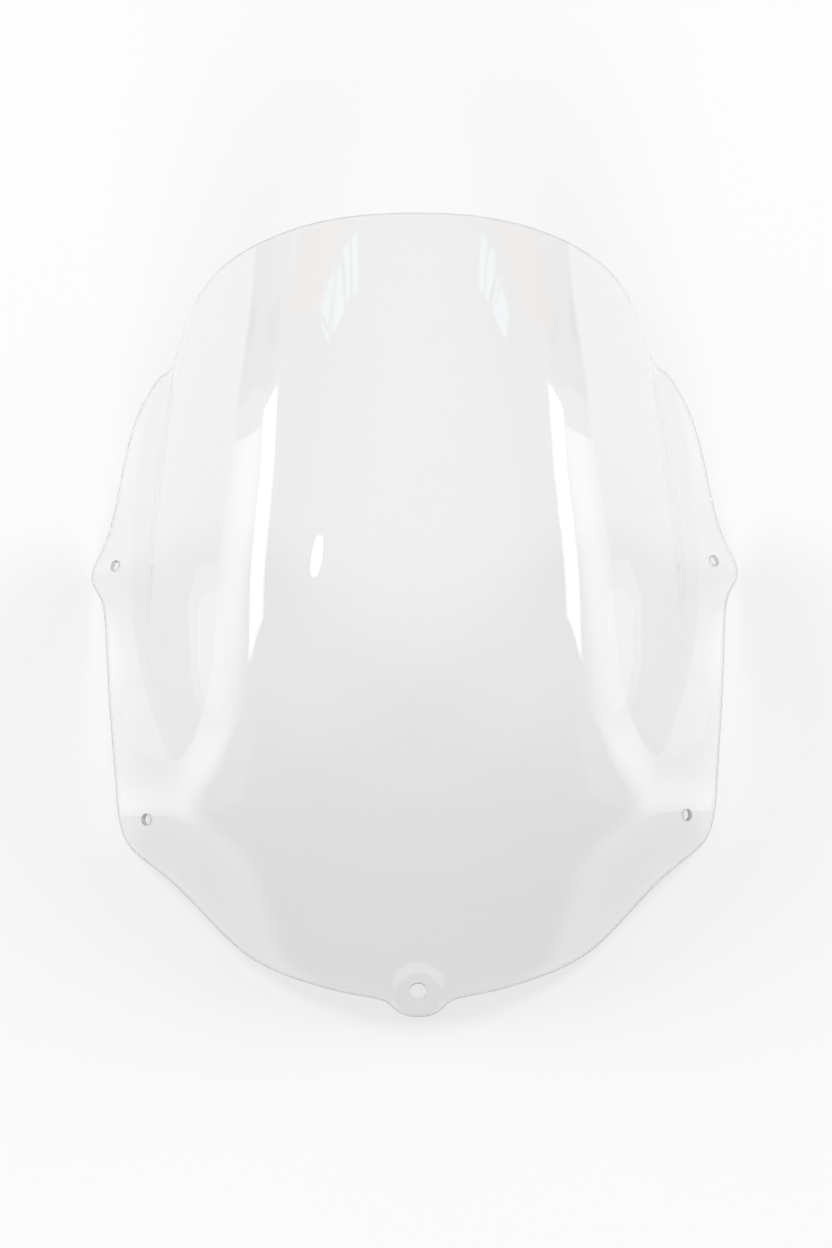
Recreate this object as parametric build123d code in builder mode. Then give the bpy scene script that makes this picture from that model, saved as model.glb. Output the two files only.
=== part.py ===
"""Double-bubble windshield screen for a motorcycle fairing.

One clear sheet, moulded to an upper bubble with a flange down each side and a stepped tab
at the bottom, trimmed round its outline and drilled with five fixing holes. It lies hollow
side down on its tab and its two ears. X is across, +Y is towards the top edge, +Z is up.
"""

import os
from math import atan, cos, radians, sin, sqrt, tan

from build123d import *

# ---------------------------------------------------------------- driving values
SHEET_T = 3.0            # thickness of the moulded sheet

# Rest position: how the chord frame (across, along, height) stands on the floor
REST_ANGLE = 31.5        # slope of the chord
REST_BACK = 203.34       # puts the middle of the box over the origin
REST_DROP = 0.75         # puts the lowest point on the floor

# Stations along the chord: place, crown height, crease half width, bubble depth, flange slope
STATIONS = [
    (-20.0, -9.0, 80.0, 21.0, 0.55),
    (18.0, 5.0, 90.0, 24.0, 0.60),
    (45.0, 11.0, 99.0, 27.5, 0.68),
    (80.0, 17.0, 113.0, 33.5, 0.80),
    (118.0, 22.5, 129.0, 44.0, 0.90),
    (147.0, 25.2, 137.5, 62.0, 0.93),
    (180.0, 27.0, 148.0, 89.0, 0.95),
    (215.0, 27.5, 155.0, 119.0, 0.95),
    (255.0, 27.0, 157.0, 143.5, 0.95),
    (300.0, 24.0, 153.0, 154.0, 0.95),
    (345.0, 19.2, 147.0, 154.0, 0.95),
    (376.0, 15.2, 140.8, 152.0, 0.95),
    (405.0, 11.5, 135.2, 148.0, 0.95),
    (470.0, 6.0, 126.0, 136.0, 0.95),
]
WALL_SWEEP = 80.0        # steepest sweep of the bubble's section arc
WALL_SOFT = 7.0          # how softly the arc reaches that sweep
CREASE_SOFT = 3.5        # half spread of the rounded crease between wall and flange

# Bottom tab: a flat pad stepped inwards round its hole
TAB_HOLE_V = 20.9        # hole centre along the chord
TAB_HOLE_D = 9.5         # takes an M5 well nut
TAB_STEP = 2.0           # inward step of the pad
TAB_FLAT_R = 9.0         # radius of the flat pad
TAB_BLEND = 9.0          # width of the blend from the pad to the shell
TAB_END_V = 6.3          # end of the tab along the chord

# Side holes, across and along
EAR_HOLE = (178.2, 258.2)
CORNER_HOLE = (152.2, 113.3)
SIDE_HOLE_D = 6.5        # takes an M5 screw with a nylon washer

# Rim outside the bubble, from the shoulder round the ear and lower corner to the tab
RIM = [
    (156.0, 365.2),
    (163.2, 353.0),
    (169.5, 337.5),
    (174.0, 320.0),
    (178.0, 300.0),
    (182.5, 280.5),
    (188.6, 265.0),
    (192.9, 255.6),
    (192.9, 248.2),
    (187.4, 239.4),
    (183.6, 227.0),
    (181.6, 211.0),
    (178.6, 187.0),
    (175.0, 159.0),
    (171.3, 129.0),
    (169.0, 111.5),
    (164.0, 98.8),
    (153.0, 89.2),
    (139.8, 79.8),
    (125.0, 66.6),
    (110.0, 51.8),
    (95.5, 39.8),
    (80.0, 31.6),
    (60.0, 25.0),
    (40.0, 20.1),
    (24.0, 17.2),
    (16.2, 14.2),
    (11.0, 9.3),
    (5.6, 6.8),
]
SHOULDER = (151.0, 371.0)  # where the rim cut hands over to the top edge

# Top edge seen from the side, along and height: it drops forwards from crown to shoulder
TOP_EDGE = [
    (446.6, 40.0),
    (446.3, 8.0),
    (440.5, -16.0),
    (433.0, -41.0),
    (425.5, -64.0),
    (417.0, -85.0),
    (408.0, -101.0),
    (398.0, -113.0),
    (387.5, -121.5),
    (378.5, -129.0),
    (372.0, -140.0),
    (368.0, -160.0),
    (366.0, -190.0),
]

# Sampling of the moulded surface
TAB_ROW_STEP = 3.0       # between sections near the tab
ROW_STEP = 7.0           # between sections elsewhere
TAB_ZONE_V = 45.0        # end of the finely sampled zone
FIRST_ROW_V = -18.0
LAST_ROW_V = 466.0
ARC_STEPS = [0.05, 0.10, 0.155, 0.22, 0.29, 0.37, 0.45, 0.53, 0.61, 0.69, 0.77, 0.84, 0.90, 0.945]
OUT_STEPS = [-2.2, -1.1, 0.0, 1.2, 2.8, 5.0, 8.0, 13.0, 21.0, 32.0, 45.0, 60.0]

CUT_REACH = 260.0        # reach of the trimming cutters past the sheet
DRILL_REACH = 8.0        # reach of a drill past the face each way


# ---------------------------------------------------------------- shape of the sheet
def spline_bends(xs, ys):
    """Second derivatives of the natural cubic spline through the points."""
    count = len(xs)
    ahead = [0.0] * count
    right = [0.0] * count
    for i in range(1, count - 1):
        before = xs[i] - xs[i - 1]
        after = xs[i + 1] - xs[i]
        turn = 6 * ((ys[i + 1] - ys[i]) / after - (ys[i] - ys[i - 1]) / before)
        pivot = 2 * (before + after) - before * ahead[i - 1]
        ahead[i] = after / pivot
        right[i] = (turn - before * right[i - 1]) / pivot
    bends = [0.0] * count
    for i in range(count - 2, 0, -1):
        bends[i] = right[i] - ahead[i] * bends[i + 1]
    return bends


PLACES = [row[0] for row in STATIONS]
COLUMNS = [[row[k] for row in STATIONS] for k in range(1, 5)]
BENDS = [spline_bends(PLACES, column) for column in COLUMNS]


def station_value(k, v):
    """Value of station column k at place v along the chord."""
    i = 0
    while i < len(PLACES) - 2 and v > PLACES[i + 1]:
        i += 1
    gap = PLACES[i + 1] - PLACES[i]
    a = (PLACES[i + 1] - v) / gap
    b = (v - PLACES[i]) / gap
    curve = (a**3 - a) * BENDS[k][i] + (b**3 - b) * BENDS[k][i + 1]
    return a * COLUMNS[k][i] + b * COLUMNS[k][i + 1] + curve * gap * gap / 6


def section(v):
    """Half width, arc half axes and sweep, end slope, crown height and flange slope at v."""
    crown, half, depth, flange = [station_value(k, v) for k in range(4)]
    free = 2 * atan(depth / half)
    top = radians(WALL_SWEEP)
    sweep = 0.5 * (free + top - sqrt((free - top) ** 2 + radians(WALL_SOFT) ** 2))
    wide = half / sin(sweep)
    tall = depth / (1 - cos(sweep))
    return half, wide, tall, sweep, tall / wide * tan(sweep), crown, flange


def pad_share(u, v):
    """How far the tab's inward step applies at (u, v), from 0 to 1."""
    reach = (sqrt(u * u + (v - TAB_HOLE_V) ** 2) - TAB_FLAT_R) / TAB_BLEND
    if v < TAB_HOLE_V:
        reach = (abs(u) - TAB_FLAT_R) / TAB_BLEND
    reach = min(max(reach, 0.0), 1.0)
    return 1 - reach**3 * (10 - 15 * reach + 6 * reach * reach)


def height(u, v):
    """Height of the outer face over the chord plane at (u, v)."""
    half, wide, tall, sweep, wall, crown, flange = section(v)
    out = abs(u) - half
    r = min(abs(u), half) / wide
    arc = crown - tall * (1 - sqrt(1 - r * r)) - wall * max(out, 0.0)
    crease = (wall - flange) * 0.5 * (out + sqrt(out * out + CREASE_SOFT**2))
    return arc + crease - TAB_STEP * pad_share(u, v)


def section_points(v):
    """Points of the outer face across the section at v, from left to right."""
    half, wide, tall, sweep, wall, crown, flange = section(v)
    us = [wide * sin(f * sweep) for f in ARC_STEPS] + [half + step for step in OUT_STEPS]
    across = [-u for u in reversed(us)] + [0.0] + us
    return [Vector(u, v, height(u, v)) for u in across]


def spread(points):
    """Running length along the points, scaled to end at one."""
    run = [0.0]
    for p, q in zip(points, points[1:]):
        run.append(run[-1] + (q - p).length)
    return [x / run[-1] for x in run]


def outward(u, v):
    """Unit normal of the outer face at (u, v)."""
    e = 0.25
    du = (height(u + e, v) - height(u - e, v)) / (2 * e)
    dv = (height(u, v + e) - height(u, v - e)) / (2 * e)
    return Vector(-du, -dv, 1.0).normalized()


def drill_plane(u, v):
    """Plane on the outer face at (u, v), facing outwards."""
    return Plane(origin=(u, v, height(u, v)), x_dir=(0, 1, 0), z_dir=outward(u, v))


places = []
v = FIRST_ROW_V
while v < LAST_ROW_V:
    places.append(v)
    v += ROW_STEP if v > TAB_ZONE_V else TAB_ROW_STEP

rows = [section_points(v) for v in places]
spreads = [spread(row) for row in rows]
shared = [sum(column) / len(spreads) for column in zip(*spreads)]
wires = [Wire([Edge.make_spline(row, parameters=shared)]) for row in rows]
blank_face = Shell.make_loft(wires, ruled=False).faces()[0]

# ---------------------------------------------------------------- trimming cutters
with BuildPart() as rim_cutter:
    with BuildSketch(Plane.XY.offset(-CUT_REACH)):
        with BuildLine():
            right_rim = [(u, v) for u, v in RIM]
            left_rim = [(-u, v) for u, v in reversed(RIM)]
            rim = Spline(*(right_rim + [(0.0, TAB_END_V)] + left_rim))
            far = LAST_ROW_V + 20.0
            Polyline(
                rim @ 1,
                (-SHOULDER[0], SHOULDER[1]),
                (-SHOULDER[0], far),
                (SHOULDER[0], far),
                SHOULDER,
                rim @ 0,
            )
        make_face()
    extrude(amount=2 * CUT_REACH)

with BuildPart() as top_cutter:
    with BuildSketch(Plane.YZ.offset(-CUT_REACH)):
        with BuildLine():
            top = Spline(*TOP_EDGE)
            low, high = TOP_EDGE[-1][1], TOP_EDGE[0][1]
            Polyline(top @ 1, (3 * FIRST_ROW_V, low), (3 * FIRST_ROW_V, high), top @ 0)
        make_face()
    extrude(amount=2 * CUT_REACH)

outer_face = blank_face.intersect(rim_cutter.part)[0].intersect(top_cutter.part)[0]

# ---------------------------------------------------------------- the moulded screen
with BuildPart() as moulded:
    thicken(to_thicken=outer_face, amount=-SHEET_T)
    for side in (-1, 1):
        for u, v in (EAR_HOLE, CORNER_HOLE):
            with BuildSketch(drill_plane(side * u, v)):
                Circle(SIDE_HOLE_D / 2)
            extrude(amount=DRILL_REACH, both=True, mode=Mode.SUBTRACT)
    with BuildSketch(drill_plane(0.0, TAB_HOLE_V)):
        Circle(TAB_HOLE_D / 2)
    extrude(amount=DRILL_REACH, both=True, mode=Mode.SUBTRACT)

screen = Pos(0, -REST_BACK, -REST_DROP) * moulded.part.rotate(Axis.X, REST_ANGLE)
screen.label = "screen"

os.makedirs("parts", exist_ok=True)
export_step(screen, "parts/screen.step")
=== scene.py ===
"""Clear windshield screen for a motorcycle fairing.

One sheet of clear acrylic with a tall bubble, a flange down each side, a stepped tab at the
bottom, a rounded rim and five drilled holes, lying hollow side down in a plain studio.
"""

import math

import bmesh
import bpy
import numpy as np
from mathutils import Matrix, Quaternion, Vector, kdtree
from mathutils.geometry import delaunay_2d_cdt


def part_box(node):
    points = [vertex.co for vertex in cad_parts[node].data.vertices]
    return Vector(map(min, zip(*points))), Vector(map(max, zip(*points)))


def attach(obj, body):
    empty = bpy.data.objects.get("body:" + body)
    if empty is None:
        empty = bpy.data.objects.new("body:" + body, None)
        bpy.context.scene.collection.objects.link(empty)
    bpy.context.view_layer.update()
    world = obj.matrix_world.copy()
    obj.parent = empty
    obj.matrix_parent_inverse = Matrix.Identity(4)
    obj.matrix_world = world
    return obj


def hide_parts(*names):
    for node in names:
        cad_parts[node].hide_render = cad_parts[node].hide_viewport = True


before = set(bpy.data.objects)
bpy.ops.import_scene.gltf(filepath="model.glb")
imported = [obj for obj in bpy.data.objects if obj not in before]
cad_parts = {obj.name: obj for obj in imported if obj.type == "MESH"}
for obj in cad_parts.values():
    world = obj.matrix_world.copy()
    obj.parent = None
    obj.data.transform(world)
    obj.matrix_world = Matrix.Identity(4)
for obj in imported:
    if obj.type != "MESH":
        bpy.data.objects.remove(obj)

bl_info = {
    "name": "Clear Windshield Screen",
    "version": (1, 0, 0),
    "blender": (4, 5, 0),
    "location": "3D View > Sidebar > Windshield",
    "description": "Builds a clear double-bubble windshield screen and its studio",
    "category": "Object",
}

LOW, HIGH = (Vector(corner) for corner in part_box("screen"))
MIDDLE = (LOW + HIGH) / 2

# ------------------------------------------------------------------ moulded shape, millimetres
# Stations along the chord: place, crown height, crease half width, bubble depth, flange slope
STATIONS = np.array([
    (-20.0, -9.0, 80.0, 21.0, 0.55),
    (18.0, 5.0, 90.0, 24.0, 0.60),
    (45.0, 11.0, 99.0, 27.5, 0.68),
    (80.0, 17.0, 113.0, 33.5, 0.80),
    (118.0, 22.5, 129.0, 44.0, 0.90),
    (147.0, 25.2, 137.5, 62.0, 0.93),
    (180.0, 27.0, 148.0, 89.0, 0.95),
    (215.0, 27.5, 155.0, 119.0, 0.95),
    (255.0, 27.0, 157.0, 143.5, 0.95),
    (300.0, 24.0, 153.0, 154.0, 0.95),
    (345.0, 19.2, 147.0, 154.0, 0.95),
    (376.0, 15.2, 140.8, 152.0, 0.95),
    (405.0, 11.5, 135.2, 148.0, 0.95),
    (470.0, 6.0, 126.0, 136.0, 0.95),
])
WALL_SWEEP = math.radians(80.0)  # steepest sweep of the bubble's section arc
WALL_SOFT = math.radians(7.0)    # how softly the arc reaches that sweep
CREASE_SOFT = 3.5                # half spread of the crease between wall and flange

REST_ANGLE = math.radians(31.5)  # slope of the chord when the screen lies on the floor
REST_BACK = 203.34               # along the floor, from the chord's start to the box's middle
REST_DROP = 0.75                 # down, until the tab and both ears touch the floor

TAB_HOLE = (0.0, 20.9)
TAB_STEP = 2.0    # how far inwards the flat pad sits
TAB_FLAT_R = 9.0  # radius of the flat pad
TAB_BLEND = 9.0   # width of the slope round the pad
TAB_END_V = 6.3   # end of the tab, along

# Rim from the shoulder round the ear and the lower corner to the tab, across and along
RIM = [
    (156.0, 365.2), (163.2, 353.0), (169.5, 337.5), (174.0, 320.0), (178.0, 300.0),
    (182.5, 280.5), (188.6, 265.0), (192.9, 255.6), (192.9, 248.2), (187.4, 239.4),
    (183.6, 227.0), (181.6, 211.0), (178.6, 187.0), (175.0, 159.0), (171.3, 129.0),
    (169.0, 111.5), (164.0, 98.8), (153.0, 89.2), (139.8, 79.8), (125.0, 66.6),
    (110.0, 51.8), (95.5, 39.8), (80.0, 31.6), (60.0, 25.0), (40.0, 20.1),
    (24.0, 17.2), (16.2, 14.2), (11.0, 9.3), (5.6, 6.8),
]
SHOULDER_U = 151.0  # where the top edge ends, across

# Top edge seen from the side, along and height
TOP_EDGE = [
    (446.6, 40.0), (446.3, 8.0), (440.5, -16.0), (433.0, -41.0), (425.5, -64.0),
    (417.0, -85.0), (408.0, -101.0), (398.0, -113.0), (387.5, -121.5), (378.5, -129.0),
    (372.0, -140.0), (368.0, -160.0), (366.0, -190.0),
]

# Drilled holes: across, along, radius
HOLES = [
    (-178.2, 258.2, 3.25), (178.2, 258.2, 3.25),
    (-152.2, 113.3, 3.25), (152.2, 113.3, 3.25),
    (*TAB_HOLE, 4.75),
]

# ------------------------------------------------------------------ mesh layout, millimetres
MM_PER_M = 1000
SLOPE_REACH = 0.25    # half the width over which the face's slope is measured
CURVE_STEP = 0.05     # spacing of points on the rim's curve
TOP_STEP = 0.25       # spacing of points on the top edge's curve
SEARCH_BEYOND = 20.0  # how far past the shoulder the top edge is looked for
SEARCH_ROUNDS = 50    # halvings of that search
RIM_SHARE = 0.5       # spacing on the rim, as a share of the faces' spacing
HOLE_POINTS = 56      # points round a hole
HOLE_RINGS = ((0.45, 2), (1.3, 4))  # rings round each hole: distance out, how much sparser
DRILL_ROUNDS = 6      # steps that bring a hole's rim onto the face
CLEAR_SHARE = 0.62    # gap round the loops and rings, as a share of the faces' spacing
HOLE_CLEAR = 1.5      # gap between a hole and the even points
MERGE_REACH = 1e-5    # points this near count as one
EDGE_STEPS = 4        # facets in each quarter turn of a rounded edge
FEWEST_FACES = 1000   # fewer than this means that the build went wrong


def spline_bends(xs, ys):
    """Second derivatives of the natural cubic spline through the points."""
    gap = np.diff(xs)
    count = len(xs)
    grid = np.eye(count)
    turn = np.zeros((count,) + ys.shape[1:])
    for i in range(1, count - 1):
        grid[i, i - 1:i + 2] = gap[i - 1], 2 * (gap[i - 1] + gap[i]), gap[i]
        turn[i] = 6 * ((ys[i + 1] - ys[i]) / gap[i] - (ys[i] - ys[i - 1]) / gap[i - 1])
    return np.linalg.solve(grid, turn)


def spline_at(xs, ys, bends, x):
    """Values of the spline at x, for one column or several."""
    i = np.clip(np.searchsorted(xs, x) - 1, 0, len(xs) - 2)
    gap = xs[i + 1] - xs[i]
    a, b = (xs[i + 1] - x) / gap, (x - xs[i]) / gap
    if ys.ndim > 1:
        a, b, gap = a[..., None], b[..., None], gap[..., None]
    curve = (a ** 3 - a) * bends[i] + (b ** 3 - b) * bends[i + 1]
    return a * ys[i] + b * ys[i + 1] + curve * gap * gap / 6


PLACES, FORMS = STATIONS[:, 0], STATIONS[:, 1:]
FORM_BENDS = spline_bends(PLACES, FORMS)


def section(v):
    """Half width, arc half axes, sweep, wall slope, crown height and flange slope at v."""
    crown, half, depth, flange = np.moveaxis(spline_at(PLACES, FORMS, FORM_BENDS, v), -1, 0)
    free = 2 * np.arctan(depth / half)
    sweep = 0.5 * (free + WALL_SWEEP - np.sqrt((free - WALL_SWEEP) ** 2 + WALL_SOFT ** 2))
    wide = half / np.sin(sweep)
    tall = depth / (1 - np.cos(sweep))
    return half, wide, tall, sweep, tall / wide * np.tan(sweep), crown, flange


def pad_share(u, v):
    """How far the tab's inward step applies, from 0 to 1."""
    round_reach = np.hypot(u - TAB_HOLE[0], v - TAB_HOLE[1])
    reach = np.where(v < TAB_HOLE[1], np.abs(u), round_reach)
    reach = np.clip((reach - TAB_FLAT_R) / TAB_BLEND, 0.0, 1.0)
    return 1 - reach ** 3 * (10 - 15 * reach + 6 * reach * reach)


def height(u, v):
    """Height of the outer face over the chord plane."""
    half, wide, tall, _, wall, crown, flange = section(v)
    out = np.abs(u) - half
    r = np.minimum(np.abs(u), half) / wide
    arc = crown - tall * (1 - np.sqrt(1 - r * r)) - wall * np.maximum(out, 0.0)
    crease = (wall - flange) * 0.5 * (out + np.sqrt(out * out + CREASE_SOFT ** 2))
    return arc + crease - TAB_STEP * pad_share(u, v)


def lifted(uv):
    """Points of the outer face over the plan points."""
    return np.column_stack([uv, height(uv[:, 0], uv[:, 1])])


def outward(uv):
    """Unit normals of the outer face over the plan points."""
    u, v, e = uv[:, 0], uv[:, 1], SLOPE_REACH
    du = (height(u + e, v) - height(u - e, v)) / (2 * e)
    dv = (height(u, v + e) - height(u, v - e)) / (2 * e)
    return unit(np.column_stack([-du, -dv, np.ones(len(u))]))


def unit(rows):
    """The rows as vectors of length one."""
    return rows / np.linalg.norm(rows, axis=1)[:, None]


def arc_spread(uv):
    """Signed running width of the section from the crown line to each plan point."""
    u, v = uv[:, 0], uv[:, 1]
    half, wide, tall, sweep, _, _, flange = section(v)
    girth = sweep * (wide + tall) / 2
    inside = np.arcsin(np.minimum(np.abs(u), half) / wide) / sweep * girth
    return np.sign(u) * (inside + np.maximum(np.abs(u) - half, 0.0) * np.hypot(1.0, flange))


def arc_unspread(s, v):
    """Plan place across for a running width."""
    half, wide, tall, sweep, _, _, flange = section(v)
    girth = sweep * (wide + tall) / 2
    inside = wide * np.sin(np.minimum(np.abs(s), girth) / girth * sweep)
    return np.sign(s) * (inside + np.maximum(np.abs(s) - girth, 0.0) / np.hypot(1.0, flange))


# ------------------------------------------------------------------ outline of the sheet
def through(points, step):
    """Dense points of a smooth curve through the given ones."""
    points = np.array(points)
    run = np.concatenate([[0.0], np.cumsum(np.linalg.norm(np.diff(points, axis=0), axis=1))])
    bends = spline_bends(run, points)
    return spline_at(run, points, bends, np.linspace(0, run[-1], int(run[-1] / step)))


def top_curve():
    """Plan points of the top edge from the crown to the shoulder."""
    side = through(TOP_EDGE, TOP_STEP)
    v, w = side[:, 0], side[:, 1]
    low, high = np.zeros(len(v)), np.full(len(v), SHOULDER_U + SEARCH_BEYOND)
    kept = (height(low, v) >= w) & (height(high, v) <= w)
    v, w, low, high = v[kept], w[kept], low[kept], high[kept]
    for _ in range(SEARCH_ROUNDS):
        mid = (low + high) / 2
        above = height(mid, v) > w
        low, high = np.where(above, mid, low), np.where(above, high, mid)
    curve = np.column_stack([(low + high) / 2, v])
    return curve[curve[:, 0] < SHOULDER_U]


def paced(uv, step):
    """The curve's points again, evenly spaced on the sheet, both ends kept."""
    solid = lifted(uv)
    run = np.concatenate([[0.0], np.cumsum(np.linalg.norm(np.diff(solid, axis=0), axis=1))])
    marks = np.linspace(0, run[-1], max(2, int(round(run[-1] / step)) + 1))
    return np.column_stack([np.interp(marks, run, uv[:, k]) for k in (0, 1)])


def outline(step):
    """Plan points round the sheet, anticlockwise seen from outside."""
    right = np.array(RIM)
    left = right[::-1] * (-1, 1)
    rim = through(np.vstack([right, [(0.0, TAB_END_V)], left]), CURVE_STEP)[::-1]
    top = top_curve()
    top = np.vstack([top[::-1], top[1:] * (-1, 1)])
    runs = [rim, np.array([rim[-1], top[0]]), top, np.array([top[-1], rim[0]])]
    return np.vstack([paced(run, step)[:-1] for run in runs])


def hole_rim(hole, radius, count):
    """Plan points where a drill meets the outer face, clockwise from outside, and its spokes."""
    middle = lifted(np.array([hole[:2]]))[0]
    axis = outward(np.array([hole[:2]]))[0]
    e1 = np.cross((0.0, 1.0, 0.0), axis)
    e1 /= np.linalg.norm(e1)
    e2 = np.cross(axis, e1)
    turn = -np.linspace(0, 2 * math.pi, count, endpoint=False)
    spoke = np.cos(turn)[:, None] * e1 + np.sin(turn)[:, None] * e2
    points = middle + radius * spoke
    for _ in range(DRILL_ROUNDS):
        gap = points[:, 2] - height(points[:, 0], points[:, 1])
        points = points - gap[:, None] * axis / axis[2]
    return points[:, :2], spoke


# ------------------------------------------------------------------ mesh of the sheet
def rolled_edge(rim, normals, side, radius, thick, steps):
    """Rings of points and normals that carry the outer face round a rounded edge to the inner."""
    rings = []
    quarter = np.linspace(0, math.pi / 2, steps + 1)
    for q in quarter:
        a, b = radius * (1 - math.sin(q)), radius * (1 - math.cos(q))
        rings.append((rim - a * side - b * normals, math.cos(q) * normals + math.sin(q) * side))
    for q in quarter:
        a, b = radius * (1 - math.cos(q)), thick - radius + radius * math.sin(q)
        rings.append((rim - a * side - b * normals, math.cos(q) * side - math.sin(q) * normals))
    return rings


def to_row(points):
    """Chord frame in millimetres to the shared frame in metres."""
    c, s = math.cos(REST_ANGLE), math.sin(REST_ANGLE)
    u, v, w = points.T
    return np.column_stack([u, v * c - w * s - REST_BACK, v * s + w * c - REST_DROP]) / MM_PER_M


def turned(vectors):
    """Directions in the chord frame to the shared frame."""
    c, s = math.cos(REST_ANGLE), math.sin(REST_ANGLE)
    u, v, w = vectors.T
    return np.column_stack([u, v * c - w * s, v * s + w * c])


def rim_and_holes(spacing, edge_round, hole_round):
    """Loops in plan inside the rounded edges, what each edge rolls from, and rings of points."""
    rim = outline(spacing * RIM_SHARE)
    solid, normals = lifted(rim), outward(rim)
    along = unit(np.roll(solid, -1, axis=0) - np.roll(solid, 1, axis=0))
    side = unit(np.cross(along, normals))
    loops = [(solid - edge_round * side)[:, :2]]
    rolled, rings = [(solid, normals, side, edge_round)], []
    for hole in HOLES:
        edge, spoke = hole_rim(hole, hole[2], HOLE_POINTS)
        loops.append(hole_rim(hole, hole[2] + hole_round, HOLE_POINTS)[0])
        rolled.append((lifted(edge), outward(edge), -spoke, hole_round))
        for extra, sparser in HOLE_RINGS:
            rings.append(hole_rim(hole, hole[2] + hole_round + extra, HOLE_POINTS // sparser)[0])
    return loops, rolled, rings


def opened_out(uv):
    """Plan points laid out flat: running width across, place along."""
    return np.column_stack([arc_spread(uv), uv[:, 1]])


def even_points(fixed, spacing):
    """Even points over the opened-out sheet, kept clear of the fixed ones and of the holes."""
    low, high = fixed.min(0), fixed.max(0)
    columns = np.arange(round(low[0] / spacing), round(high[0] / spacing) + 1)
    rows = np.arange(low[1] + spacing * 0.5, high[1], spacing)
    s, v = (grid.ravel() for grid in np.meshgrid(columns * spacing, rows))
    tree = kdtree.KDTree(len(fixed))
    for i, (x, y) in enumerate(fixed):
        tree.insert((x, y, 0.0), i)
    tree.balance()
    clear = np.array([tree.find((x, y, 0.0))[2] > spacing * CLEAR_SHARE for x, y in zip(s, v)])
    for hole in HOLES:
        middle = arc_spread(np.array([hole[:2]]))[0]
        clear &= np.hypot(s - middle, v - hole[1]) > hole[2] + HOLE_CLEAR
    return np.column_stack([s, v])[clear]


def face_plan(loops, rings, spacing):
    """Plan points of the outer face, its triangles, and the point numbers of each loop."""
    flat_loops = [opened_out(loop) for loop in loops]
    fixed = np.vstack(flat_loops + [opened_out(ring) for ring in rings])
    flat = np.vstack([fixed, even_points(fixed, spacing)])
    edges, first = [], 0
    for loop in flat_loops:
        n = len(loop)
        edges += [(first + i, first + (i + 1) % n) for i in range(n)]
        first += n
    sheet = list(range(len(flat_loops[0])))
    made, _, triangles, origin, _, owner = delaunay_2d_cdt(
        [Vector(p) for p in flat], edges, [sheet], 0, MERGE_REACH, True)
    corners = np.array([tuple(tri) for tri, owned in zip(triangles, owner) if owned])
    made = np.array([tuple(p) for p in made])
    plan = np.column_stack([arc_unspread(made[:, 0], made[:, 1]), made[:, 1]])

    # the loops' own points go back in exactly
    place = {old: new for new, olds in enumerate(origin) for old in olds}
    bounds, first = [], 0
    for loop in loops:
        ids = np.array([place[first + i] for i in range(len(loop))])
        plan[ids] = loop
        bounds.append(ids)
        first += len(loop)

    # triangles inside a hole go, and the rest face outwards
    hole_of = np.full(len(plan), -1)
    for k, ids in enumerate(bounds[1:]):
        hole_of[ids] = k
    holes = hole_of[corners]
    corners = corners[~((holes[:, 0] >= 0) & (holes == holes[:, :1]).all(1))]
    a, b, c = (plan[corners[:, k]] for k in range(3))
    turn = (b[:, 0] - a[:, 0]) * (c[:, 1] - a[:, 1]) - (b[:, 1] - a[:, 1]) * (c[:, 0] - a[:, 0])
    corners[turn < 0] = corners[turn < 0][:, ::-1]

    # only the points in use stay
    used, corners = np.unique(corners, return_inverse=True)
    fresh = np.full(len(plan), -1)
    fresh[used] = np.arange(len(used))
    return plan[used], corners.reshape(-1, 3), [fresh[ids] for ids in bounds]


def sheet_arrays(thick, spacing, edge_round, hole_round):
    """Points, normals, edge shares and faces of the whole sheet, in the chord frame."""
    loops, rolled, rings = rim_and_holes(spacing, edge_round, hole_round)
    plan, corners, bounds = face_plan(loops, rings, spacing)
    outer, normals = lifted(plan), outward(plan)
    count = len(plan)
    points, directions = [outer, outer - thick * normals], [normals, -normals]
    shares = [np.zeros(count), np.zeros(count)]
    faces = corners.tolist() + (corners[:, ::-1] + count).tolist()
    total = 2 * count
    for ids, (edge, normal, side, radius) in zip(bounds, rolled):
        n = len(ids)
        chain = [ids]
        for ring, facing in rolled_edge(edge, normal, side, radius, thick, EDGE_STEPS)[1:-1]:
            points.append(ring)
            directions.append(facing)
            shares.append(np.ones(n))
            chain.append(np.arange(total, total + n))
            total += n
        chain.append(ids + count)
        for near, far in zip(chain, chain[1:]):
            nn, ff = np.roll(near, -1), np.roll(far, -1)
            faces += list(zip(near.tolist(), far.tolist(), ff.tolist(), nn.tolist()))
    return np.vstack(points), np.vstack(directions), np.concatenate(shares), faces


def sheet_mesh(settings):
    """The sheet as a mesh with true normals, and an edge share for its finish."""
    points, directions, shares, faces = sheet_arrays(
        settings.thickness * MM_PER_M, settings.spacing * MM_PER_M,
        settings.edge_round * MM_PER_M, settings.hole_round * MM_PER_M)
    mesh = bpy.data.meshes.new("clear_screen")
    mesh.from_pydata(to_row(points).tolist(), [], faces)
    mesh.validate()
    mesh.update()
    mesh.polygons.foreach_set("use_smooth", np.ones(len(mesh.polygons), dtype=bool))
    mesh.normals_split_custom_set_from_vertices(turned(unit(directions)).tolist())
    share = mesh.attributes.new("cut_edge", "FLOAT", "POINT")
    share.data.foreach_set("value", shares.astype(np.float32))
    return mesh


# ------------------------------------------------------------------ materials
BODY_COLOUR = (0.99, 0.99, 0.99, 1)
# noise over the sheet: scale, detail
HAZE = (14.0, 3.0)
WAVES = (16.0, 1.0)
# polishing haze: from this range of the noise, to this range of roughness
HAZE_FROM = (0.35, 0.75)
HAZE_TO = (0.0, 0.02)
FLOOR_GLOW = 0.7  # share of the floor's look that is its own white


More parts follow.
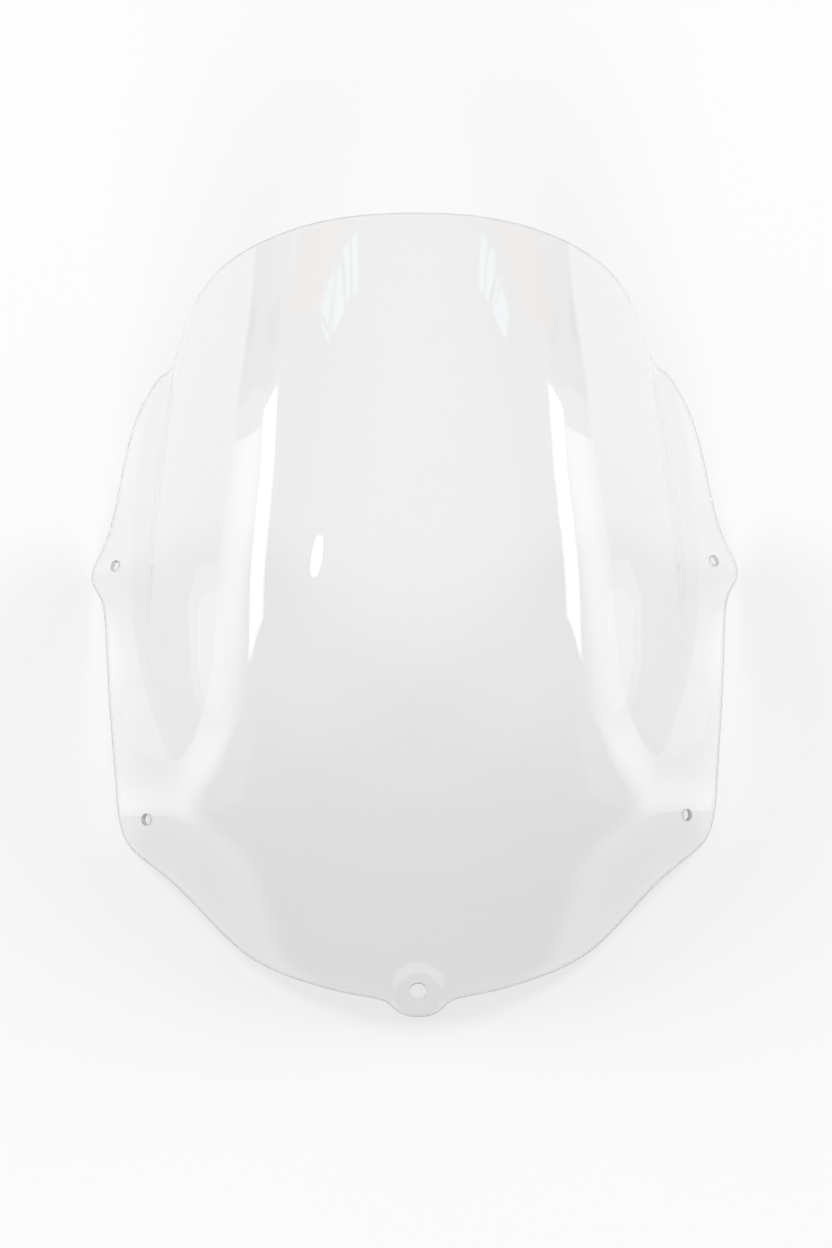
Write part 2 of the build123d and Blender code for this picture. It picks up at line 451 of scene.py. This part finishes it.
def empty_material(name):
    """A material whose node tree holds only its output, and that output."""
    mat = bpy.data.materials.new(name)
    mat.use_nodes = True
    mat.node_tree.nodes.clear()
    return mat, mat.node_tree.nodes.new("ShaderNodeOutputMaterial")


def noise(tree, vector, scale, detail):
    """A noise texture's value over the given places."""
    node = tree.nodes.new("ShaderNodeTexNoise")
    node.inputs["Scale"].default_value = scale
    node.inputs["Detail"].default_value = detail
    tree.links.new(vector, node.inputs["Vector"])
    return node.outputs["Fac"]


def math_node(tree, operation, first, second=0.0, third=0.0, clamp=False):
    """The result of a maths node, fed with sockets or plain values."""
    node = tree.nodes.new("ShaderNodeMath")
    node.operation = operation
    node.use_clamp = clamp
    for socket, value in zip(node.inputs, (first, second, third)):
        if isinstance(value, bpy.types.NodeSocket):
            tree.links.new(value, socket)
        else:
            socket.default_value = value
    return node.outputs["Value"]


def mixed(tree, share, first, second):
    """Two shaders mixed, with that share of the second."""
    node = tree.nodes.new("ShaderNodeMixShader")
    for socket, value in zip(node.inputs, (share, first, second)):
        tree.links.new(value, socket)
    return node.outputs["Shader"]


def clear_acrylic(settings):
    """Clear acrylic with faint moulding waves, faint polishing haze and matte cut edges."""
    mat, out = empty_material("clear_acrylic")
    tree = mat.node_tree
    nodes, links = tree.nodes, tree.links
    bsdf = nodes.new("ShaderNodeBsdfPrincipled")
    bsdf.inputs["Base Color"].default_value = BODY_COLOUR
    bsdf.inputs["IOR"].default_value = settings.ior
    bsdf.inputs["Transmission Weight"].default_value = 1.0

    place = nodes.new("ShaderNodeTexCoord").outputs["Object"]
    haze = nodes.new("ShaderNodeMapRange")
    haze.inputs["From Min"].default_value, haze.inputs["From Max"].default_value = HAZE_FROM
    haze.inputs["To Min"].default_value, haze.inputs["To Max"].default_value = HAZE_TO
    links.new(noise(tree, place, *HAZE), haze.inputs["Value"])
    edge = nodes.new("ShaderNodeAttribute")
    edge.attribute_name = "cut_edge"
    cut = edge.outputs["Fac"]
    rough = math_node(tree, "MULTIPLY_ADD", cut, settings.edge_roughness, haze.outputs["Result"])
    links.new(rough, bsdf.inputs["Roughness"])

    bump = nodes.new("ShaderNodeBump")
    bump.inputs["Strength"].default_value = 1.0
    bump.inputs["Distance"].default_value = settings.waviness
    links.new(noise(tree, place, *WAVES), bump.inputs["Height"])
    links.new(bump.outputs["Normal"], bsdf.inputs["Normal"])

    # lamps and bounced light pass straight through, less what the surface and the edges turn away
    mirror = nodes.new("ShaderNodeFresnel")
    mirror.inputs["IOR"].default_value = settings.ior
    faces_pass = math_node(tree, "SUBTRACT", 1.0, mirror.outputs["Fac"])
    edges_pass = math_node(tree, "MULTIPLY_ADD", cut, -settings.edge_shade, 1.0)
    straight = nodes.new("ShaderNodeBsdfTransparent")
    links.new(math_node(tree, "MULTIPLY", faces_pass, edges_pass), straight.inputs["Color"])
    path = nodes.new("ShaderNodeLightPath").outputs
    lit = math_node(tree, "MAXIMUM", path["Is Shadow Ray"], path["Is Diffuse Ray"])
    links.new(mixed(tree, lit, bsdf.outputs["BSDF"], straight.outputs["BSDF"]),
              out.inputs["Surface"])

    tint = nodes.new("ShaderNodeVolumeAbsorption")
    tint.inputs["Color"].default_value = (*settings.tint, 1)
    tint.inputs["Density"].default_value = settings.tint_density
    links.new(tint.outputs["Volume"], out.inputs["Volume"])
    return mat


def glowing(tree, colour):
    """A shader that only gives out light of that colour."""
    node = tree.nodes.new("ShaderNodeEmission")
    node.inputs["Color"].default_value = (*colour, 1)
    node.inputs["Strength"].default_value = 1.0
    return node.outputs["Emission"]


def floor_material(colour):
    """Pale studio floor: it shows white to the eye and in the acrylic, and keeps the shadow."""
    mat, out = empty_material("studio_floor")
    tree = mat.node_tree
    paper = tree.nodes.new("ShaderNodeBsdfDiffuse")
    paper.inputs["Color"].default_value = (*colour, 1)
    path = tree.nodes.new("ShaderNodeLightPath").outputs
    seen = math_node(tree, "ADD", path["Is Camera Ray"], path["Is Glossy Ray"])
    seen = math_node(tree, "ADD", seen, path["Is Transmission Ray"], clamp=True)
    share = math_node(tree, "MULTIPLY", seen, FLOOR_GLOW)
    look = mixed(tree, share, paper.outputs["BSDF"], glowing(tree, (1, 1, 1)))
    tree.links.new(look, out.inputs["Surface"])
    return mat


# ------------------------------------------------------------------ settings
class ScreenSettings(bpy.types.PropertyGroup):
    """Sizes and finish of the clear sheet"""

    thickness: bpy.props.FloatProperty(
        name="Sheet Thickness", description="Thickness of the acrylic sheet",
        default=0.003, min=0.002, max=0.005, unit="LENGTH", subtype="DISTANCE")
    spacing: bpy.props.FloatProperty(
        name="Mesh Spacing", description="Distance between points on the faces of the sheet",
        default=0.003, min=0.0015, max=0.01, unit="LENGTH", subtype="DISTANCE")
    edge_round: bpy.props.FloatProperty(
        name="Edge Rounding", description="Radius left on both edges of the rim",
        default=0.0011, min=0.0003, max=0.0014, unit="LENGTH", subtype="DISTANCE")
    hole_round: bpy.props.FloatProperty(
        name="Hole Rounding", description="Radius left on the edges of the drilled holes",
        default=0.0004, min=0.0001, max=0.001, unit="LENGTH", subtype="DISTANCE")
    ior: bpy.props.FloatProperty(
        name="Refractive Index", description="How strongly the acrylic bends light",
        default=1.49, min=1.0, max=2.0)
    tint: bpy.props.FloatVectorProperty(
        name="Tint", description="Faint grey left in light that crosses the sheet",
        default=(0.6, 0.6, 0.58), size=3, min=0.0, max=1.0, subtype="COLOR")
    tint_density: bpy.props.FloatProperty(
        name="Tint Density", description="How quickly the sheet takes up light",
        default=20.0, min=0.0, max=500.0)
    edge_roughness: bpy.props.FloatProperty(
        name="Edge Roughness", description="Roughness of the rim and the bores",
        default=0.9, min=0.0, max=1.0, subtype="FACTOR")
    edge_shade: bpy.props.FloatProperty(
        name="Edge Shade", description="Share of a lamp's light that the cut edges turn away",
        default=0.8, min=0.0, max=1.0, subtype="FACTOR")
    waviness: bpy.props.FloatProperty(
        name="Waviness", description="Depth of the faint waves left by moulding",
        default=0.00001, min=0.0, max=0.001, unit="LENGTH", subtype="DISTANCE", precision=6)


class StudioSettings(bpy.types.PropertyGroup):
    """Floor, lamps and camera of the studio"""

    floor_colour: bpy.props.FloatVectorProperty(
        name="Floor Colour", description="Colour of the pale floor",
        default=(0.9, 0.9, 0.9), size=3, min=0.0, max=1.0, subtype="COLOR")
    back_power: bpy.props.FloatProperty(
        name="Back Softbox Power", description="Power of each softbox behind the screen",
        default=180.0, min=0.0, unit="POWER")
    front_power: bpy.props.FloatProperty(
        name="Front Softbox Power", description="Power of the low softbox in front of the screen",
        default=195.0, min=0.0, unit="POWER")
    strip_power: bpy.props.FloatProperty(
        name="Strip Power", description="Power of the strip beside each side of the screen",
        default=1.0, min=0.0, unit="POWER")
    lens: bpy.props.FloatProperty(
        name="Focal Length", description="Focal length of the camera in millimetres",
        default=86.0, min=20.0, max=300.0)
    camera_elevation: bpy.props.FloatProperty(
        name="Camera Elevation", description="Angle of the camera above the floor",
        default=math.radians(58.5), subtype="ANGLE", unit="ROTATION")
    camera_distance: bpy.props.FloatProperty(
        name="Camera Distance", description="Distance of the camera from its target",
        default=1.632, min=0.5, unit="LENGTH", subtype="DISTANCE")


# ------------------------------------------------------------------ operators
class WINDSHIELD_OT_clear_screen(bpy.types.Operator):
    """Build the clear moulded sheet with its rounded rim and drilled holes"""

    bl_idname = "windshield.clear_screen"
    bl_label = "Clear Screen"
    bl_options = {"REGISTER", "UNDO"}

    def execute(self, context):
        settings = context.scene.windshield_screen
        mesh = sheet_mesh(settings)
        if len(mesh.polygons) < FEWEST_FACES:
            raise RuntimeError("the sheet's mesh came out nearly empty")
        mesh.materials.append(clear_acrylic(settings))
        piece = bpy.data.objects.new("clear_screen", mesh)
        context.scene.collection.objects.link(piece)
        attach(piece, "root")
        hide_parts("screen")
        return {"FINISHED"}


# ------------------------------------------------------------------ studio
def aimed(obj, place, target):
    """Put a lamp at a place, turned towards its target."""
    obj.location = place
    obj.rotation_mode = "QUATERNION"
    obj.rotation_quaternion = (Vector(target) - Vector(place)).to_track_quat("-Z", "Y")


def softbox(name, place, target, size, power, shape="RECTANGLE"):
    """An area lamp aimed at a target."""
    data = bpy.data.lights.new(name, "AREA")
    data.shape = shape
    data.size, data.size_y = size
    data.energy = power
    lamp = bpy.data.objects.new(name, data)
    bpy.context.scene.collection.objects.link(lamp)
    aimed(lamp, place, target)
    lamp.visible_camera = False
    return lamp


# Dark end of the room beside the set, in steps that fade towards the front: distance to the
# side, brightness, corners (y, z)
DARK_CARDS = (
    (1.00, 0.02, ((0.48, 0.14), (0.80, 0.14), (0.80, 0.62), (0.30, 0.62), (0.34, 0.42),
                  (0.44, 0.24))),
    (1.01, 0.35, ((0.40, 0.14), (0.80, 0.14), (0.80, 0.62), (0.28, 0.62), (0.29, 0.42),
                  (0.37, 0.28))),
    (1.02, 0.70, ((0.34, 0.14), (0.80, 0.14), (0.80, 0.62), (0.28, 0.62), (0.28, 0.40),
                  (0.25, 0.36), (0.28, 0.28))),
    # one small card that keeps the strip out of the lower crown
    (0.30, 0.40, ((-0.080, 0.105), (-0.140, 0.105), (-0.155, 0.170), (-0.108, 0.170),
                  (-0.086, 0.140))),
)
# White cards that widen the bright bands down the sides of the crown: distance to the side,
# brightness, corners (y, z)
WHITE_CARDS = (
    (0.305, 1.6, ((0.094, 0.069), (0.065, 0.121), (-0.012, 0.119), (-0.058, 0.121),
                  (-0.073, 0.113), (-0.043, 0.078), (0.020, 0.039), (0.075, 0.037))),
    (0.300, 2.2, ((0.058, 0.083), (0.038, 0.117), (-0.017, 0.116), (-0.050, 0.115),
                  (-0.056, 0.102), (-0.033, 0.079), (0.011, 0.058), (0.052, 0.061))),
)
# The room's window panes and curtains: distance to the side, colours, corners (y, z)
WINDOW_X = 0.3
PANE_COLOUR = (0.7, 1.1, 1.15)
CURTAIN_COLOUR = (0.45, 0.24, 0.12)
WINDOWS = {
    "left": (
        ((0.1178, 0.5042), (0.1049, 0.5525), (0.0915, 0.5651), (0.0973, 0.5397)),
        ((0.1008, 0.5677), (0.0886, 0.6170), (0.0742, 0.6338), (0.0865, 0.5858)),
        ((0.1211, 0.4844), (0.0994, 0.5281), (0.1099, 0.4471), (0.1211, 0.4604)),
        ((0.1241, 0.4720), (0.1246, 0.4487), (0.1193, 0.4343), (0.1393, 0.3895),
         (0.1378, 0.4107)),
        ((0.1381, 0.3858), (0.1183, 0.4287), (0.1088, 0.4442), (0.1093, 0.4340)),
    ),
    "right": (
        ((0.1263, 0.4966), (0.1329, 0.4633), (0.1123, 0.4934), (0.1032, 0.5258),
         (0.1065, 0.5229)),
        ((0.1350, 0.4542), (0.1434, 0.4243), (0.1351, 0.4290), (0.1153, 0.4748),
         (0.1126, 0.4887)),
        ((0.1386, 0.4170), (0.1410, 0.4076), (0.1294, 0.4302), (0.1179, 0.4604)),
        ((0.1404, 0.4049), (0.1448, 0.3817), (0.1430, 0.3715), (0.1225, 0.3947),
         (0.1189, 0.4531), (0.1313, 0.4239)),
    ),
}
CURTAINS = {
    "left": ((0.1931, 0.3196), (0.1187, 0.5298), (0.1311, 0.4506), (0.1424, 0.3725),
             (0.1829, 0.2641)),
    "right": ((0.1515, 0.4318), (0.2171, 0.2625), (0.2050, 0.2383), (0.1906, 0.2245),
              (0.1579, 0.3151), (0.1607, 0.3396), (0.1533, 0.3934)),
}
# The white sweep's end and the room above it: height of the direction, brightness
SWEEP = ((0.16, 0.9), (0.30, 0.1))
# Soft glows on both sides: degrees from the back, degrees up, width, strength
GLOWS = (
    (45, 5, 10, 1.2),
    (86, 7, 9, 1.2),
)

FLOOR_REACH = 6.0
# Lamps: place, size. Those beside the set are given for the right and mirrored for the left
BACK_BOX = ((3.6, 3.6, 3.1), (2.1, 2.1))
FAR_BOX = ((0.0, 5.14, 3.09), (2.4, 2.4))
FRONT_BOX = ((0.0, -5.35, 2.72), (2.6, 2.6))
STRIP = ((1.5, 0.07, 0.592), (0.57, 0.155))
ROUND_LAMP = ((-1.11, -0.35, 1.14), (0.12, 0.12))
FAR_SHARE = 0.2    # power of the far softbox, as a share of a back softbox's
ROUND_POWER = 0.6
SENSOR = 36.0
CAMERA_TARGET = (0.0005, -0.0141, 0.1152)
CAMERA_ROLL = math.radians(-0.5)


def studio_world():
    """Plain studio surround: a white sweep up to a low horizon, a darker room, and soft glows."""
    world = bpy.data.worlds.new("studio")
    world.use_nodes = True
    tree = world.node_tree
    nodes, links = tree.nodes, tree.links
    nodes.clear()
    out = nodes.new("ShaderNodeOutputWorld")
    back = nodes.new("ShaderNodeBackground")
    place = nodes.new("ShaderNodeTexCoord")
    parts = nodes.new("ShaderNodeSeparateXYZ")
    links.new(place.outputs["Generated"], parts.inputs["Vector"])
    ramp = nodes.new("ShaderNodeValToRGB")
    stops = ramp.color_ramp
    stops.interpolation = "EASE"
    for stop, (rise, level) in zip(stops.elements, SWEEP):
        stop.position, stop.color = rise, (level, level, level, 1)
    links.new(parts.outputs["Z"], ramp.inputs["Fac"])
    total = ramp.outputs["Color"]

    # both sides alike
    fold = nodes.new("ShaderNodeCombineXYZ")
    links.new(math_node(tree, "ABSOLUTE", parts.outputs["X"]), fold.inputs["X"])
    links.new(parts.outputs["Y"], fold.inputs["Y"])
    links.new(parts.outputs["Z"], fold.inputs["Z"])
    for azimuth, elevation, width, strength in GLOWS:
        a, e = math.radians(azimuth), math.radians(elevation)
        near = nodes.new("ShaderNodeVectorMath")
        near.operation = "DOT_PRODUCT"
        links.new(fold.outputs["Vector"], near.inputs[0])
        near.inputs[1].default_value = (
            math.sin(a) * math.cos(e), math.cos(a) * math.cos(e), math.sin(e))
        away = math_node(tree, "SUBTRACT", near.outputs["Value"], 1.0)
        fade = math_node(tree, "DIVIDE", away, math.radians(width) ** 2)
        soft = math_node(tree, "EXPONENT", fade)
        total = math_node(tree, "MULTIPLY_ADD", soft, strength, total)
    links.new(total, back.inputs["Color"])
    links.new(back.outputs["Background"], out.inputs["Surface"])
    return world


def card(name, x, outlines, glow):
    """A card beside the set that only shows in the acrylic; its outlines hold (y, z) corners."""
    mesh = bpy.data.meshes.new(name)
    points, faces = [], []
    for corners in outlines:
        faces.append(tuple(range(len(points), len(points) + len(corners))))
        points += [(x, y, z) for y, z in corners]
    mesh.from_pydata(points, [], faces)
    mat, out = empty_material(name)
    mat.node_tree.links.new(glowing(mat.node_tree, glow), out.inputs["Surface"])
    mesh.materials.append(mat)
    piece = bpy.data.objects.new(name, mesh)
    bpy.context.scene.collection.objects.link(piece)
    piece.visible_camera = piece.visible_diffuse = piece.visible_shadow = False
    return piece


def hide_shape(lamp):
    """Keep a lamp's own shape out of reflections and out of the clear sheet."""
    lamp.visible_glossy = lamp.visible_transmission = False


def studio_floor(settings):
    """The wide pale floor under the screen."""
    mesh = bpy.data.meshes.new("floor")
    bm = bmesh.new()
    bmesh.ops.create_grid(bm, x_segments=2, y_segments=2, size=FLOOR_REACH)
    bm.to_mesh(mesh)
    bm.free()
    mesh.materials.append(floor_material(settings.floor_colour))
    floor = bpy.data.objects.new("floor", mesh)
    bpy.context.scene.collection.objects.link(floor)


def studio_side(settings, side, name):
    """The lamps and cards on one side of the set: -1 for the left, 1 for the right."""
    (x, y, z), size = BACK_BOX
    hide_shape(softbox(f"back_softbox_{name}", (side * x, y, z), MIDDLE, size,
                       settings.back_power))
    (x, y, z), size = STRIP
    softbox(f"strip_{name}", (side * x, y, z), (0.0, y, z), size, settings.strip_power)
    for step, (x, level, corners) in enumerate(DARK_CARDS):
        card(f"dark_card_{name}_{step}", side * x, [corners], (level, level, level))
    for step, (x, level, corners) in enumerate(WHITE_CARDS):
        white = card(f"white_card_{name}_{step}", side * x, [corners], (level, level, level))
        white.visible_transmission = False
    card(f"window_{name}", side * WINDOW_X, WINDOWS[name], PANE_COLOUR)
    card(f"curtain_{name}", side * WINDOW_X, [CURTAINS[name]], CURTAIN_COLOUR)


def studio_camera(settings):
    """The camera, looking down at the screen from above its tab."""
    data = bpy.data.cameras.new("camera")
    data.lens = settings.lens
    data.sensor_width = SENSOR
    camera = bpy.data.objects.new("camera", data)
    bpy.context.scene.collection.objects.link(camera)
    tilt = settings.camera_elevation
    back = Vector((0.0, -math.cos(tilt), math.sin(tilt)))
    camera.location = Vector(CAMERA_TARGET) + back * settings.camera_distance
    camera.rotation_mode = "QUATERNION"
    aim = (-back).to_track_quat("-Z", "Y")
    camera.rotation_quaternion = aim @ Quaternion((0.0, 0.0, 1.0), CAMERA_ROLL)
    return camera


class WINDSHIELD_OT_studio(bpy.types.Operator):
    """Build the plain pale floor, the soft studio light and the camera"""

    bl_idname = "windshield.studio"
    bl_label = "Studio"
    bl_options = {"REGISTER", "UNDO"}

    def execute(self, context):
        scene = context.scene
        settings = scene.windshield_studio
        scene.view_settings.view_transform = "Standard"
        studio_floor(settings)
        scene.world = studio_world()
        for side, name in ((-1, "left"), (1, "right")):
            studio_side(settings, side, name)
        for name, (place, size), power in (
            ("far_softbox", FAR_BOX, settings.back_power * FAR_SHARE),
            ("front_softbox", FRONT_BOX, settings.front_power),
        ):
            hide_shape(softbox(name, place, MIDDLE, size, power))
        softbox("round_lamp", ROUND_LAMP[0], MIDDLE, ROUND_LAMP[1], ROUND_POWER, shape="DISK")
        scene.camera = studio_camera(settings)
        return {"FINISHED"}


class WINDSHIELD_PT_panel(bpy.types.Panel):
    """Lists the pieces of the windshield screen"""

    bl_idname = "WINDSHIELD_PT_panel"
    bl_label = "Windshield Screen"
    bl_space_type = "VIEW_3D"
    bl_region_type = "UI"
    bl_category = "Windshield"

    def draw(self, context):
        layout = self.layout
        for title, owner, operator in (
            ("Screen", context.scene.windshield_screen, WINDSHIELD_OT_clear_screen.bl_idname),
            ("Studio", context.scene.windshield_studio, WINDSHIELD_OT_studio.bl_idname),
        ):
            box = layout.box()
            box.label(text=title)
            for name in owner.__annotations__:
                box.prop(owner, name)
            box.operator(operator)


CLASSES = (
    ScreenSettings,
    StudioSettings,
    WINDSHIELD_OT_clear_screen,
    WINDSHIELD_OT_studio,
    WINDSHIELD_PT_panel,
)


def register():
    """Add the classes and the scene's settings."""
    for cls in CLASSES:
        bpy.utils.register_class(cls)
    bpy.types.Scene.windshield_screen = bpy.props.PointerProperty(type=ScreenSettings)
    bpy.types.Scene.windshield_studio = bpy.props.PointerProperty(type=StudioSettings)


def unregister():
    """Take the settings and the classes away again."""
    del bpy.types.Scene.windshield_studio
    del bpy.types.Scene.windshield_screen
    for cls in reversed(CLASSES):
        bpy.utils.unregister_class(cls)


def main():
    """Build everything."""
    register()
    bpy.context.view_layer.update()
    bpy.ops.windshield.clear_screen()
    bpy.ops.windshield.studio()


if __name__ == "__main__":
    main()
